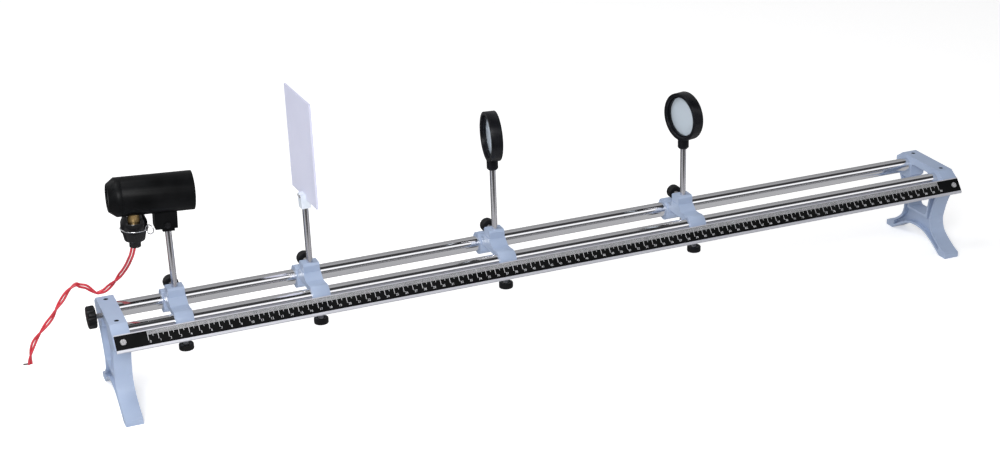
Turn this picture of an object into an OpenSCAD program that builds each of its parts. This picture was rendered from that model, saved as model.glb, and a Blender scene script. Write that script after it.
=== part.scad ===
// Double-rod optical bench with a lamp house, a white screen and two lens holders.
// The bench lies along X with the lamp at the low end, its scale faces -Y, and it stands on Z = 0.

/* [Bench] */
// Length over the two end supports
bench_len = 962; // [900:1:1200]
// Width of an end support along the bench
support_w = 17.6; // [16.5:0.1:22]
// Height of the supports' flat tops over the table
deck_h = 99.5; // [97:0.5:110]
// Span of the feet across the bench
foot_span = 121; // [117:1:124]
// Diameter of the two rods
rod_d = 16; // [14.5:0.1:16.4]
// Distance between the rod centres
rod_gap = 55.6; // [54:0.1:57]
// Depth of the rod centres under the supports' flat tops
rod_drop = 12.8; // [12:0.1:14]
// Depth of each rod's end in its support
rod_in = 13; // [8:0.5:14]
// Thickness of the supports' flat tops over the window
deck_t = 8.5; // [8:0.1:10]
// Height of the cross bar's upper edge over the table
window_low = 38.5; // [34:0.5:44]
// Width of the window at its widest
window_w = 47; // [40:0.5:50]
// Thickness of the rims round the sunk fields of the castings
rim_t = 2.6; // [2:0.1:3]
// Thickness of the castings' sunk fields
web_t = 7.2; // [5:0.1:12]

/* [Scale] */
// Angle of the rail's face from upright
rail_slope = 40; // [36:0.5:43]
// Thickness of the rail
rail_t = 3; // [2.6:0.1:3.4]
// Width of the rail's top edge
rail_top_w = 0.5; // [0.3:0.1:1.2]
// Height of the rail's top edge over the front edges of the supports
rail_rise = 2; // [1:0.1:2.6]
// Inset of the rail's ends from the supports' outer faces
rail_inset = 1; // [0:0.1:3]
// Height of the black scale plate
plate_h = 14.6; // [13:0.1:16]
// Thickness of the scale plate
plate_t = 0.8; // [0.5:0.1:1.2]
// Strip of bare rail over the plate
lip_over = 1; // [0.6:0.1:1.6]
// Strip of bare rail under the plate
lip_under = 2.6; // [2:0.1:4]
// Distance from the bench's end to the scale's zero line
scale_zero = 33; // [30:0.5:36]
// Diameter of the heads of the scale's screws
scale_head_d = 6; // [5:0.1:8]

/* [Riders] */
// Scale reading of the lamp's rider
lamp_at = 40.2; // [32:0.5:60]
// Scale reading of the screen's rider
screen_at = 179; // [160:0.5:200]
// Scale reading of the near lens's rider
near_lens_at = 381.5; // [330:0.5:420]
// Scale reading of the far lens's rider
far_lens_at = 603.5; // [550:0.5:700]
// Width of a rider's arm along the bench
arm_w = 18.2; // [17.2:0.1:19.8]
// Length of a rider's rear sleeve
sleeve_len = 20; // [18.5:0.1:24]
// Wall of a rider's rear sleeve
rear_wall = 4; // [3:0.1:4.2]
// Wall of a rider's front sleeve
front_wall = 2.8; // [2.3:0.1:4]
// Height of the post boss over the rod centres
boss_up = 25.5; // [25:0.1:30]
// Size of the post boss along the bench
boss_w = 17; // [14:0.1:17.2]
// Reach of the post boss in front of the post
boss_front = 6.5; // [6:0.1:7.5]
// Reach of the post boss behind the post
boss_back = 9.6; // [8.5:0.1:10.5]

/* [Posts] */
// Diameter of the posts
post_d = 6.3; // [5.5:0.1:7]
// Length of the posts
post_len = 92; // [88:0.5:98]
// Length of post inside the piece that it carries
post_in = 8; // [6:0.1:9]
// Bare post over the lamp's rider
lamp_up = 60.8; // [56:0.1:64]
// Bare post over the screen's rider
screen_up = 59.8; // [52:0.1:64]
// Bare post over the near lens's rider
near_lens_up = 66.2; // [52:0.1:68]
// Bare post over the far lens's rider
far_lens_up = 53.6; // [48:0.1:66]

/* [Knobs] */
// Diameter of the riders' round knobs
knob_d = 15; // [13:0.1:16]
// Thickness of the knobs under the riders
clamp_knob_t = 6; // [5:0.1:9]
// Thickness of the knobs behind the post bosses
post_knob_t = 9; // [7:0.1:11]
// Diameter of the knobs' screws
stud_d = 5; // [4:0.1:5.4]
// Bare screw between a lower knob and its rider
clamp_reach = 10.6; // [4:0.1:12]
// Bare screw between a post boss and its knob
post_reach = 6.4; // [5:0.1:9]
// Diameter of the knob on the bench's end
end_knob_d = 23; // [18:0.1:26]
// Thickness of the knob on the bench's end
end_knob_t = 8.2; // [7:0.1:12]
// Bare screw between the end knob and the support
end_reach = 7; // [4:0.1:12]

/* [Lens holders] */
// Outer diameter of a lens ring
ring_d = 52.3; // [50:0.1:60]
// Thickness of a lens ring
ring_t = 12; // [11.6:0.1:18]
// Bore of a lens ring
ring_bore = 45; // [40:0.1:47]
// Depth from the ring's face to the lens
lens_deep = 5.5; // [4.6:0.1:7]
// Thickness of the lens at its rim
lens_rim_t = 2.4; // [1.5:0.1:3]
// Swell of each lens face at its middle
lens_swell = 1.8; // [1:0.1:2.5]
// Width of the shoulder that the lens sits on
shoulder_w = 1.6; // [1:0.1:2.5]
// Diameter of the hub under a lens ring
hub_d = 12; // [10.5:0.1:15]
// Height of the hub under a lens ring
hub_h = 10; // [9:0.1:16]
// Turn of the near lens about its post
near_lens_yaw = -7; // [-30:1:30]
// Turn of the far lens about its post
far_lens_yaw = 12; // [-30:1:30]

/* [Screen] */
// Width of the white screen
screen_w = 78; // [70:1:80]
// Height of the white screen
screen_h = 108; // [90:1:130]
// Thickness of the white screen
screen_t = 2; // [1:0.1:2.4]
// Size of the screen's clip across and along the bench
clip_w = 10; // [9.6:0.1:12]
// Height of the clip that holds the screen
clip_h = 15; // [14:0.1:20]
// Turn of the screen about its post
screen_yaw = 2; // [-20:1:20]

/* [Lamp] */
// Diameter of the lamp tube
tube_d = 38.5; // [37:0.1:40]
// Length of the lamp house with its rear cap
tube_len = 82; // [80:0.5:95]
// Wall of the lamp tube
tube_wall = 1.8; // [1.2:0.1:2.2]
// Length of the rear cap
cap_len = 12.5; // [11:0.1:14]
// Diameter of the rear cap's opening
cap_open_d = 22; // [18:0.1:23]
// Size of the clamp block along the tube
block_w = 22; // [18:0.1:24]
// Size of the clamp block across the tube
block_depth = 16; // [13:0.1:17]
// Height of the clamp block from its foot to the tube
block_h = 19.2; // [18:0.1:22]
// Distance from the post to the middle of the clamp block
block_shift = 2.2; // [0:0.1:2.4]
// Distance from the block's middle to the rear end of the lamp house
tube_back = 54.1; // [50:0.1:58]
// Distance from the rear end of the lamp house to the bulb holder
holder_in = 23.8; // [23:0.1:30]
// Widest diameter of the bulb holder
holder_d = 26; // [24:0.1:28]
// Height of the holder's collar under the tube
collar_h = 16.8; // [15:0.1:18]
// Height of the holder's tapered cap
holder_cap_h = 11.2; // [10.5:0.1:14]
// Diameter of the holder's neck
neck_d = 11.4; // [11.2:0.1:13]
// Height of the holder's neck
neck_h = 5.2; // [4:0.1:8]
// Diameter of the bulb's brass base
bulb_base_d = 12; // [9:0.1:12.4]
// Diameter of the bulb's glass
bulb_d = 15; // [12:0.1:17]
// Turn of the lamp house about its post
lamp_yaw = -2; // [-5:1:0]
// Tilt of the lamp house, rear end up
lamp_tilt = 3; // [0:0.5:5]

/* [Lead] */
// Width of the pair of twisted wires
lead_d = 5.4; // [4.2:0.1:5.6]
// Length of the bare ends of the wires
lead_tip_len = 6; // [4:0.1:10]

/* [Hidden] */

// Colours of the painted castings, the metals and the plastics
cast_blue = [0.66, 0.72, 0.85];
steel = [0.78, 0.79, 0.81];
aluminium = [0.82, 0.83, 0.86];
black = [0.07, 0.07, 0.08];
brass = [0.78, 0.62, 0.34];
white = [0.88, 0.89, 0.92];
glass = [0.7, 0.8, 0.85];
lead_red = [0.7, 0.16, 0.18];

// Clearances, and the overrun of the cuts
fit = 0.05;
slip = 0.08;
tip_gap = 0.3;
over = 1;
smooth_fn = 72;
fine_fn = 36;

// Places along the bench and over the table
bench_x0 = (end_reach + end_knob_t - bench_len) / 2;
bench_x1 = bench_x0 + bench_len;
rod_z = deck_h - rod_drop;
rod_y = rod_gap / 2;
half_foot = foot_span / 2;
scale_x0 = bench_x0 + scale_zero;
end_axis_z = deck_h - deck_t / 2;
boss_z = rod_z + boss_up;

// Shape of a support's outer edge, as shares of half the foot span and of the height
top_end_share = 0.594;
front_share = 0.795;
bevel_share = 0.92;
leg_shares = [
    [0.795, 0.868], [0.661, 0.729], [0.545, 0.588], [0.471, 0.447], [0.446, 0.357],
    [0.496, 0.256], [0.612, 0.186], [0.826, 0.106], [1, 0.06],
];
arch_shares = [[0, 0.196], [0.264, 0.176], [0.545, 0.095], [0.727, 0.025], [0.8, 0]];
field_top_share = 0.72;
field_toe_share = 0.76;
curve_steps = 4;
corner_steps = 4;
window_wall = 2.2;
window_corner = 4.5;
front_y = front_share * half_foot;
window_side = rod_y - rod_d / 2 - window_wall;
window_top = deck_h - deck_t;
window_wide_z = field_top_share * deck_h;
window_neck_z = deck_h - rod_drop - rod_d / 2 - window_wall;

// Screws in the castings and in the rail
rod_screw_d = 5;
rod_screw_sink = 1.6;
rod_screw_lift = 0.2;
slot_w = 0.9;
slot_deep = 0.8;
scale_screw_d = 3.2;
scale_head_t = 1.4;
scale_screw_in = 7;
end_stud_in = 10;

// Section of the rail: its face runs down and outwards, and its upper back stands against the supports
rail_face = lip_over + plate_h + lip_under;
rail_top_z = bevel_share * deck_h + rail_rise;
rail_back_low = (rail_t * cos(rail_slope) - rail_top_w) / sin(rail_slope);
scale_mid = -lip_over - plate_h / 2;

// Shape of the nose that carries the rail's back on each support
nose_short = 3.9;
nose_t = 2;
nose_in_share = 0.655;
nose_low_share = 0.755;

// Shape of a rider's arm and boss, measured from the rod centres and from the post
arm_under = 3.8;
arm_top = 10;
step_h = 16.6;
slope_run = 7.6;
boss_bevel = 2;
lug_r = 5.5;
lug_drop = 6.5;
post_stud_drop = 4.1;
lug_z = rod_z - rod_d / 2 - lug_drop;
post_stud_z = boss_z - post_stud_drop;

// Shape of the knobs
knob_bevel = 1;
knob_bore_share = 0.6;
end_flutes = 10;
end_flute_r = 2.4;
end_flute_out = 0.9;

// Shape of the lens holders, the screen clip and the bulb holder
shoulder_t = 2;
retainer_t = 2.4;
hub_bevel = 1.5;
lens_steps = 8;
sheet_back = 0;
sheet_seat = 10.5;
rivet_r = 0.9;
rivet_head_r = 1.5;
rivet_head_t = 0.7;
rivet_drop = 2;
rivet_y = 2.6;
cap_bevel_x = 7.5;
cap_bevel_r = 5.5;
disc_t = 1;
disc_edge = 1;
front_lens_rim = 2;
front_lens_swell = 3;
front_ring_t = 3;
front_ring_w = 2.6;
block_foot_w = 12;
block_foot_h = 3.5;
block_screw_r = 3;
block_screw_t = 1.8;
block_shank_r = 1.5;
block_screw_up = 7.6;
block_screw_side = 1;
collar_top_r = 10.2;
collar_taper_h = 7;
collar_band_h = 9.5;
collar_bore_gap = 1;
collar_window_w = 14.4;
collar_window_low = 10.8;
cap_top_r = 11.8;
cap_mid_r = 10;
cap_mid_drop = 9;
base_rise = 7.5;
bulb_neck_r = 4;
wire_r = 0.6;
loop_wire_r = 0.5;
loop_r = 4.6;
loop_up = 1.5;
loop_turn = 45;
wire_up = 3;
lead_side = 1.7;
lead_sides = 10;
tip_r = 1.5;
tip_stub = 2.4;
tip_turn = 80;

// Places of the lamp's pieces, measured from its post
lamp_foot_z = boss_z + lamp_up;
tube_z = lamp_foot_z + block_h + tube_d / 2;
block_x = -block_shift;
tube_x0 = block_x - tube_back;
tube_x1 = tube_x0 + tube_len;
holder_x = tube_x0 + holder_in;
collar_z = tube_z - tube_d / 2 - collar_h;
cap_z = collar_z - holder_cap_h;
neck_z = cap_z - neck_h;
lamp_x = scale_x0 + lamp_at;

// Points that the lead passes, measured from the holder's neck
lead_points = [
    [0, 0, 0], [-2, 5.5, -10.5], [-3.5, 13, -18.5], [-5, 22, -27], [-7.5, 31.5, -36],
    [-10.5, 40, -44], [-14.5, 47, -51.5], [-19, 54, -59], [-25, 57.5, -65], [-30, 58, -66.5],
    [-34, 58, -66.5], [-38.5, 58, -62.5], [-43, 58, -58], [-49, 58, -55.5], [-52.5, 58, -53.5],
    [-57, 58, -55.5], [-62.5, 58, -60], [-68, 58, -67], [-74.5, 58, -75], [-80.5, 58, -84],
    [-87.5, 58, -91.5], [-94.5, 58, -99], [-100.5, 58, -106.5], [-105, 58, -115.5], [-107.5, 58, -124],
    [-108.5, 58, -131],
];
lead_x = holder_x - lead_side;
lead_z = neck_z - lamp_foot_z;
lead_out = lead_x * cos(lamp_tilt) + lead_z * sin(lamp_tilt);
lead_start = [
    lamp_x + lead_out * cos(lamp_yaw),
    lead_out * sin(lamp_yaw),
    lamp_foot_z + lead_z * cos(lamp_tilt) - lead_x * sin(lamp_tilt),
];

// Point on a smooth curve between the second and third of four points
function spline(a, b, c, d, t) =
    0.5 * (2 * b + (c - a) * t + (2 * a - 5 * b + 4 * c - d) * t * t + (3 * b - a - 3 * c + d) * t * t * t);

// Smooth line through a list of points, with a few steps between each two
function curve(p, steps) = let (n = len(p)) concat(
    [for (i = [0 : n - 2], s = [0 : steps - 1])
        spline(p[max(i - 1, 0)], p[i], p[i + 1], p[min(i + 2, n - 1)], s / steps)],
    [p[n - 1]]);

// The same line moved to its left by a distance
function moved(p, t) = let (n = len(p)) [for (i = [0 : n - 1])
    let (v = p[min(i + 1, n - 1)] - p[max(i - 1, 0)])
    p[i] + t * [-v[1], v[0]] / norm(v)];

// Shares turned into lengths, a list backwards, and a list on the other side of the bench
function sized(p) = [for (q = p) [q[0] * half_foot, q[1] * deck_h]];
function backwards(p) = [for (i = [len(p) - 1 : -1 : 0]) p[i]];
function other_side(p) = [for (q = p) [-q[0], q[1]]];

// Box with rounded corners, drawn round from its lower right corner
function round_box(half_w, low, high, r, steps) = [
    for (k = [0 : 3], s = [0 : steps])
        let (a = 90 * (k - 1 + s / steps))
        let (side = (k == 0 || k == 1) ? half_w - r : r - half_w)
        let (level = (k == 0 || k == 3) ? low + r : high - r)
        [side + r * cos(a), level + r * sin(a)]];

leg_line = curve(sized(leg_shares), curve_steps);
arch_line = curve(sized(arch_shares), curve_steps);
half_outline = concat(
    [[top_end_share * half_foot, deck_h], [front_y, bevel_share * deck_h]],
    leg_line,
    [[half_foot, 0]],
    backwards(arch_line));
field_leg = [for (q = moved(leg_line, -rim_t))
    if (q[1] < field_top_share * deck_h && q[0] < field_toe_share * half_foot) q];
field_arch = [for (q = moved(arch_line, rim_t)) if (q[0] < field_toe_share * half_foot) q];
half_field = concat(
    [[window_side + rim_t, window_low - rim_t], [window_side + rim_t, window_low + window_corner],
        [window_w / 2 + rim_t, window_wide_z], [field_leg[0][0], window_wide_z]],
    field_leg,
    backwards(field_arch));

half_flare = [[window_side, window_low + window_corner], [window_w / 2, window_wide_z],
    [window_side, window_neck_z]];

// Slab along X from a shape drawn in Y and Z, and a bar along X
module slab(w) {
    rotate([90, 0, 90]) linear_extrude(w, center = true) children();
}

module bar_x(len, r, fn = smooth_fn) {
    rotate([0, 90, 0]) cylinder(h = len, r = r, center = true, $fn = fn);
}

// Hollow or solid turned piece whose axis lies along X, drawn as radius against X
module turned_x(fn = smooth_fn) {
    rotate([0, 90, 0]) rotate_extrude($fn = fn) children();
}

// Frame of the rail: Y goes into its face, Z goes up the face to its top outer edge
module on_rail() {
    translate([0, -front_y - rail_top_w, rail_top_z]) rotate([-rail_slope, 0, 0]) children();
}

// Nose of a support: a wedge whose seat follows the rail's sloping back
module rail_nose() {
    seat_end = nose_short - rail_face;
    seat_y = -front_y - rail_top_w + rail_t * cos(rail_slope);
    seat_z = rail_top_z - rail_t * sin(rail_slope);
    end_y = seat_y + seat_end * sin(rail_slope);
    end_z = seat_z + seat_end * cos(rail_slope);
    top_z = seat_z - rail_back_low * cos(rail_slope);
    slab(support_w)
        polygon([
            [-front_y, top_z], [end_y, end_z],
            [end_y + nose_t * cos(rail_slope), end_z - nose_t * sin(rail_slope)],
            [-nose_in_share * half_foot, nose_low_share * deck_h],
            [-nose_in_share * half_foot, top_z]]);
}

// Cast end support: side is 1 when its rod sockets open towards +X and -1 towards -X
module support(side) {
    field_deep = (support_w - web_t) / 2;
    difference() {
        union() {
            slab(support_w) polygon(concat(half_outline, backwards(other_side(half_outline))));
            rail_nose();
        }
        slab(support_w + over)
            polygon(round_box(window_side, window_low, window_top, window_corner, corner_steps));
        slab(support_w + over) polygon(concat(half_flare, backwards(other_side(half_flare))));
        for (s = [-1, 1])
            translate([s * (support_w - field_deep + over) / 2, 0, 0])
                slab(field_deep + over) polygon(concat(half_field, backwards(other_side(half_field))));
        for (s = [-1, 1]) {
            translate([side * (support_w - rod_in + over) / 2, s * rod_y, rod_z])
                bar_x(rod_in + over, rod_d / 2 + fit);
            translate([0, s * rod_y, rod_z])
                cylinder(h = rod_drop + over, r = rod_screw_d / 2, $fn = fine_fn);
        }
        on_rail()
            translate([0, rail_t - over, scale_mid])
                rotate([-90, 0, 0])
                    cylinder(h = scale_screw_in + over, r = scale_screw_d / 2, $fn = fine_fn);
        if (side > 0)
            translate([-(support_w - end_stud_in + over) / 2, 0, end_axis_z])
                bar_x(end_stud_in + over, stud_d / 2 + fit, fine_fn);
    }
}

module left_support() {
    color(cast_blue) translate([bench_x0 + support_w / 2, 0, 0]) support(1);
}

module right_support() {
    color(cast_blue) translate([bench_x1 - support_w / 2, 0, 0]) support(-1);
}

// Ground steel rod from one support's socket to the other's
module rod(y) {
    color(steel)
        translate([(bench_x0 + bench_x1) / 2, y, rod_z])
            bar_x(bench_len - 2 * (support_w - rod_in), rod_d / 2);
}

// Slotted screws that hold the rods in the supports
module rod_screws() {
    screw_h = rod_drop - rod_d / 2 - rod_screw_lift - rod_screw_sink;
    color(black)
        for (x = [bench_x0 + support_w / 2, bench_x1 - support_w / 2], s = [-1, 1])
            translate([x, s * rod_y, rod_z + rod_d / 2 + rod_screw_lift])
                difference() {
                    cylinder(h = screw_h, r = rod_screw_d / 2, $fn = fine_fn);
                    translate([-rod_screw_d, -slot_w / 2, screw_h - slot_deep])
                        cube([2 * rod_screw_d, slot_w, slot_deep + over]);
                }
}

// Aluminium rail that carries the scale along the front of the bench
module scale_rail() {
    rail_len = bench_len - 2 * rail_inset;
    color(aluminium)
        difference() {
            on_rail()
                difference() {
                    translate([(bench_x0 + bench_x1) / 2, 0, 0])
                        slab(rail_len)
                            polygon([
                                [0, 0], [0, -rail_face], [rail_t, -rail_face], [rail_t, -rail_back_low],
                                [rail_top_w * cos(rail_slope), rail_top_w * sin(rail_slope)]]);
                    translate([bench_x0 + rail_inset - over, -over, -lip_over - plate_h])
                        cube([rail_len + 2 * over, plate_t + over, plate_h]);
                }
            scale_holes(rail_t);
        }
}

// Holes for the scale's screws, from in front of the face to past a depth behind it
module scale_holes(depth) {
    for (x = [bench_x0 + support_w / 2, bench_x1 - support_w / 2])
        on_rail()
            translate([x, -over, scale_mid])
                rotate([-90, 0, 0])
                    cylinder(h = depth + 2 * over, r = scale_screw_d / 2, $fn = fine_fn);
}

module scale_plate() {
    color(black)
        difference() {
            on_rail()
                translate([bench_x0 + rail_inset, 0, -lip_over - plate_h])
                    cube([bench_len - 2 * rail_inset, plate_t, plate_h]);
            scale_holes(plate_t);
        }
}

module scale_screws() {
    color(steel)
        for (x = [bench_x0 + support_w / 2, bench_x1 - support_w / 2])
            on_rail()
                translate([x, -scale_head_t, scale_mid])
                    rotate([-90, 0, 0])
                        difference() {
                            union() {
                                cylinder(h = scale_head_t, r = scale_head_d / 2, $fn = fine_fn);
                                cylinder(h = scale_head_t + rail_t + scale_screw_in,
                                    r = scale_screw_d / 2, $fn = fine_fn);
                            }
                            translate([-scale_head_d, -slot_w / 2, -over])
                                cube([2 * scale_head_d, slot_w, slot_deep + over]);
                        }
}

// Round knob standing on Z = 0 with the socket of its screw in that face
module knob(d, t) {
    difference() {
        rotate_extrude($fn = smooth_fn)
            polygon([[0, 0], [d / 2 - knob_bevel, 0], [d / 2, knob_bevel], [d / 2, t - knob_bevel],
                [d / 2 - knob_bevel, t], [0, t]]);
        translate([0, 0, -over]) cylinder(h = knob_bore_share * t + over, r = stud_d / 2, $fn = fine_fn);
    }
}

module end_knob() {
    color(black)
        translate([bench_x0 - end_reach, 0, end_axis_z])
            rotate([0, -90, 0])
                difference() {
                    knob(end_knob_d, end_knob_t);
                    for (k = [0 : end_flutes - 1])
                        rotate([0, 0, 360 * k / end_flutes])
                            translate([end_knob_d / 2 + end_flute_out, 0, -over])
                                cylinder(h = end_knob_t + 2 * over, r = end_flute_r, $fn = fine_fn);
                }
}

module end_stud() {
    stud_len = end_stud_in - tip_gap + end_reach + knob_bore_share * end_knob_t;
    color(steel)
        translate([bench_x0 + end_stud_in - tip_gap - stud_len / 2, 0, end_axis_z])
            bar_x(stud_len, stud_d / 2, fine_fn);
}

// Cast rider with two sleeves on the rods and a boss for the post
module rider(x) {
    front_r = rod_d / 2 + front_wall;
    rear_r = rod_d / 2 + rear_wall;
    color(cast_blue)
        translate([x, 0, 0])
            difference() {
                union() {
                    translate([0, rod_y, rod_z]) bar_x(sleeve_len, rear_r);
                    translate([0, -rod_y, rod_z]) bar_x(arm_w, front_r);
                    translate([0, -rod_y, lug_z]) cylinder(h = rod_z - lug_z, r = lug_r, $fn = smooth_fn);
                    slab(arm_w) polygon([
                        [-rod_y, rod_z + arm_under], [rod_y, rod_z + arm_under],
                        [rod_y, rod_z + arm_top], [boss_back, rod_z + arm_top],
                        [boss_back, rod_z + step_h], [-boss_front, rod_z + step_h],
                        [-boss_front - slope_run, rod_z + arm_top], [-rod_y, rod_z + arm_top]]);
                    slab(boss_w) polygon([
                        [-boss_front, rod_z + arm_under], [boss_back, rod_z + arm_under],
                        [boss_back, boss_z - boss_bevel], [boss_back - boss_bevel, boss_z],
                        [boss_bevel - boss_front, boss_z], [-boss_front, boss_z - boss_bevel]]);
                }
                for (s = [-1, 1])
                    translate([0, s * rod_y, rod_z]) bar_x(sleeve_len + over, rod_d / 2 + slip);
                translate([0, 0, rod_z])
                    cylinder(h = boss_up + over, r = post_d / 2 + fit, $fn = smooth_fn);
                translate([0, 0, post_stud_z])
                    rotate([-90, 0, 0]) cylinder(h = boss_back + over, r = stud_d / 2 + fit, $fn = fine_fn);
                translate([0, -rod_y, lug_z - over])
                    cylinder(h = rod_z - lug_z, r = stud_d / 2 + fit, $fn = fine_fn);
            }
}

// Knob and screw that clamp a rider to the front rod from below
module clamp_knob(x) {
    color(black)
        translate([x, -rod_y, lug_z - clamp_reach]) rotate([180, 0, 0]) knob(knob_d, clamp_knob_t);
}

module clamp_stud(x) {
    stud_z0 = lug_z - clamp_reach - knob_bore_share * clamp_knob_t;
    color(steel)
        translate([x, -rod_y, stud_z0])
            cylinder(h = rod_z - rod_d / 2 - tip_gap - stud_z0, r = stud_d / 2, $fn = fine_fn);
}

// Knob and screw that clamp a post from behind
module post_knob(x) {
    color(black)
        translate([x, boss_back + post_reach, post_stud_z]) rotate([-90, 0, 0]) knob(knob_d, post_knob_t);
}

module post_stud(x) {
    stud_y0 = post_d / 2 + tip_gap;
    stud_y1 = boss_back + post_reach + knob_bore_share * post_knob_t;
    color(steel)
        translate([x, stud_y0, post_stud_z])
            rotate([-90, 0, 0]) cylinder(h = stud_y1 - stud_y0, r = stud_d / 2, $fn = fine_fn);
}

// Round post; up is the bare length over the rider
module post(x, up) {
    color(steel)
        translate([x, 0, boss_z + up + post_in - post_len])
            cylinder(h = post_len, r = post_d / 2, $fn = smooth_fn);
}

// Socket for a post's end, from below a face to a small gap over the post
module post_socket(z) {
    translate([0, 0, z - over])
        cylinder(h = post_in + tip_gap + over, r = post_d / 2 + fit, $fn = smooth_fn);
}

// Outline of one face of a lens from its rim to its middle, with a flat land at the rim
function lens_side(r, land, half_rim, swell, sense) =
    let (edge = r - land)
    let (big = (edge * edge + swell * swell) / (2 * swell))
    concat(
        [[r, sense * half_rim]],
        [for (k = [0 : lens_steps])
            let (q = edge * (1 - k / lens_steps))
            [q, sense * (half_rim + sqrt(big * big - q * q) - big + swell)]]);

// Lens with two bulging faces, centred on its own middle with its axis along Z
module lens(r, land, rim, swell) {
    rotate_extrude($fn = smooth_fn)
        polygon(concat(
            lens_side(r, land, rim / 2, swell, 1),
            backwards(lens_side(r, land, rim / 2, swell, -1))));
}

// Ring of a lens holder, centred on the lens's axis, its open face towards -X
module lens_ring() {
    seat = lens_deep + lens_rim_t - ring_t / 2;
    color(black)
        turned_x()
            polygon([
                [ring_bore / 2, -ring_t / 2], [ring_d / 2, -ring_t / 2],
                [ring_d / 2, ring_t / 2], [ring_bore / 2, ring_t / 2],
                [ring_bore / 2, seat + shoulder_t], [ring_bore / 2 - shoulder_w, seat + shoulder_t],
                [ring_bore / 2 - shoulder_w, seat], [ring_bore / 2, seat]]);
}

module lens_glass() {
    color(glass)
        translate([lens_deep + lens_rim_t / 2 - ring_t / 2, 0, 0])
            rotate([0, 90, 0]) lens(ring_bore / 2, shoulder_w, lens_rim_t, lens_swell);
}

// Thin ring that holds the lens against its shoulder
module lens_retainer() {
    color(black)
        turned_x()
            translate([ring_bore / 2 - shoulder_w, lens_deep - retainer_t - ring_t / 2])
                square([shoulder_w, retainer_t]);
}

// Round hub that joins a lens ring to its post
module lens_hub() {
    color(black)
        difference() {
            rotate_extrude($fn = smooth_fn)
                polygon([[0, 0], [hub_d / 2 - hub_bevel, 0], [hub_d / 2, hub_bevel],
                    [hub_d / 2, hub_h + hub_d / 4], [0, hub_h + hub_d / 4]]);
            translate([0, 0, hub_h + ring_d / 2]) bar_x(ring_t + hub_d, ring_d / 2);
            post_socket(0);
        }
}

// Puts a lens holder's piece on its post; rise is its height over the post's bare length
module on_post(at, up, yaw, rise) {
    translate([scale_x0 + at, 0, boss_z + up + rise]) rotate([0, 0, yaw]) children();
}

// Place of the near and of the far lens's axis
module near_axis() {
    on_post(near_lens_at, near_lens_up, near_lens_yaw, hub_h + ring_d / 2) children();
}

module far_axis() {
    on_post(far_lens_at, far_lens_up, far_lens_yaw, hub_h + ring_d / 2) children();
}

// Place of the foot of the near and of the far lens's hub
module near_foot() {
    on_post(near_lens_at, near_lens_up, near_lens_yaw, 0) children();
}

module far_foot() {
    on_post(far_lens_at, far_lens_up, far_lens_yaw, 0) children();
}

// White screen in its clip
module screen_sheet() {
    color(white)
        on_post(screen_at, screen_up, screen_yaw, sheet_seat)
            difference() {
                translate([sheet_back, -screen_w / 2, 0]) cube([screen_t, screen_w, screen_h]);
                rivet_holes();
            }
}

module rivet_holes() {
    for (s = [-1, 1])
        translate([0, s * rivet_y, clip_h - sheet_seat - rivet_drop])
            bar_x(3 * clip_w, rivet_r, fine_fn);
}

module screen_clip() {
    color(white)
        on_post(screen_at, screen_up, screen_yaw, 0)
            difference() {
                translate([-clip_w / 2, -clip_w / 2, 0]) cube([clip_w, clip_w, clip_h]);
                translate([sheet_back, -clip_w, sheet_seat]) cube([screen_t, 2 * clip_w, clip_h]);
                post_socket(0);
                translate([0, 0, sheet_seat]) rivet_holes();
            }
}

module screen_rivets() {
    color(steel)
        on_post(screen_at, screen_up, screen_yaw, clip_h - rivet_drop)
            for (s = [-1, 1])
                translate([0, s * rivet_y, 0]) {
                    bar_x(clip_w, rivet_r, fine_fn);
                    for (e = [-1, 1])
                        translate([e * (clip_w + rivet_head_t) / 2, 0, 0])
                            bar_x(rivet_head_t, rivet_head_r, fine_fn);
                }
}

// Puts a piece of the lamp house in place about the top of its post
module at_lamp() {
    translate([lamp_x, 0, lamp_foot_z])
        rotate([0, lamp_tilt, lamp_yaw])
            translate([0, 0, -lamp_foot_z]) children();
}

// Tube of the lamp house, with a hole for the bulb's base
module lamp_tube() {
    color(black)
        at_lamp()
            difference() {
                translate([(tube_x0 + cap_len + tube_x1) / 2, 0, tube_z])
                    difference() {
                        bar_x(tube_len - cap_len, tube_d / 2);
                        bar_x(tube_len, tube_d / 2 - tube_wall);
                    }
                translate([holder_x, 0, tube_z - tube_d])
                    cylinder(h = tube_d, r = bulb_base_d / 2 + fit, $fn = fine_fn);
            }
}

module lamp_rear_cap() {
    r = tube_d / 2;
    color(black)
        at_lamp()
            translate([tube_x0, 0, tube_z])
                turned_x()
                    polygon([
                        [cap_open_d / 2, 0], [r - cap_bevel_r, 0], [r, cap_bevel_x], [r, cap_len],
                        [r - tube_wall, cap_len], [r - tube_wall, cap_bevel_x + tube_wall / 2],
                        [cap_open_d / 2 + disc_edge, tube_wall + disc_t],
                        [cap_open_d / 2 + disc_edge, tube_wall],
                        [cap_open_d / 2, tube_wall]]);
}

module lamp_rear_disc() {
    color(aluminium)
        at_lamp()
            translate([tube_x0 + tube_wall + disc_t / 2, 0, tube_z])
                bar_x(disc_t, cap_open_d / 2 + disc_edge);
}

module lamp_front_lens() {
    color(glass)
        at_lamp()
            translate([tube_x1 - front_ring_t - front_lens_rim / 2, 0, tube_z])
                rotate([0, 90, 0])
                    lens(tube_d / 2 - tube_wall, front_ring_w, front_lens_rim, front_lens_swell);
}

module lamp_front_ring() {
    color(black)
        at_lamp()
            translate([tube_x1 - front_ring_t, 0, tube_z])
                turned_x()
                    translate([tube_d / 2 - tube_wall - front_ring_w, 0])
                        square([front_ring_w, front_ring_t]);
}

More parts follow.
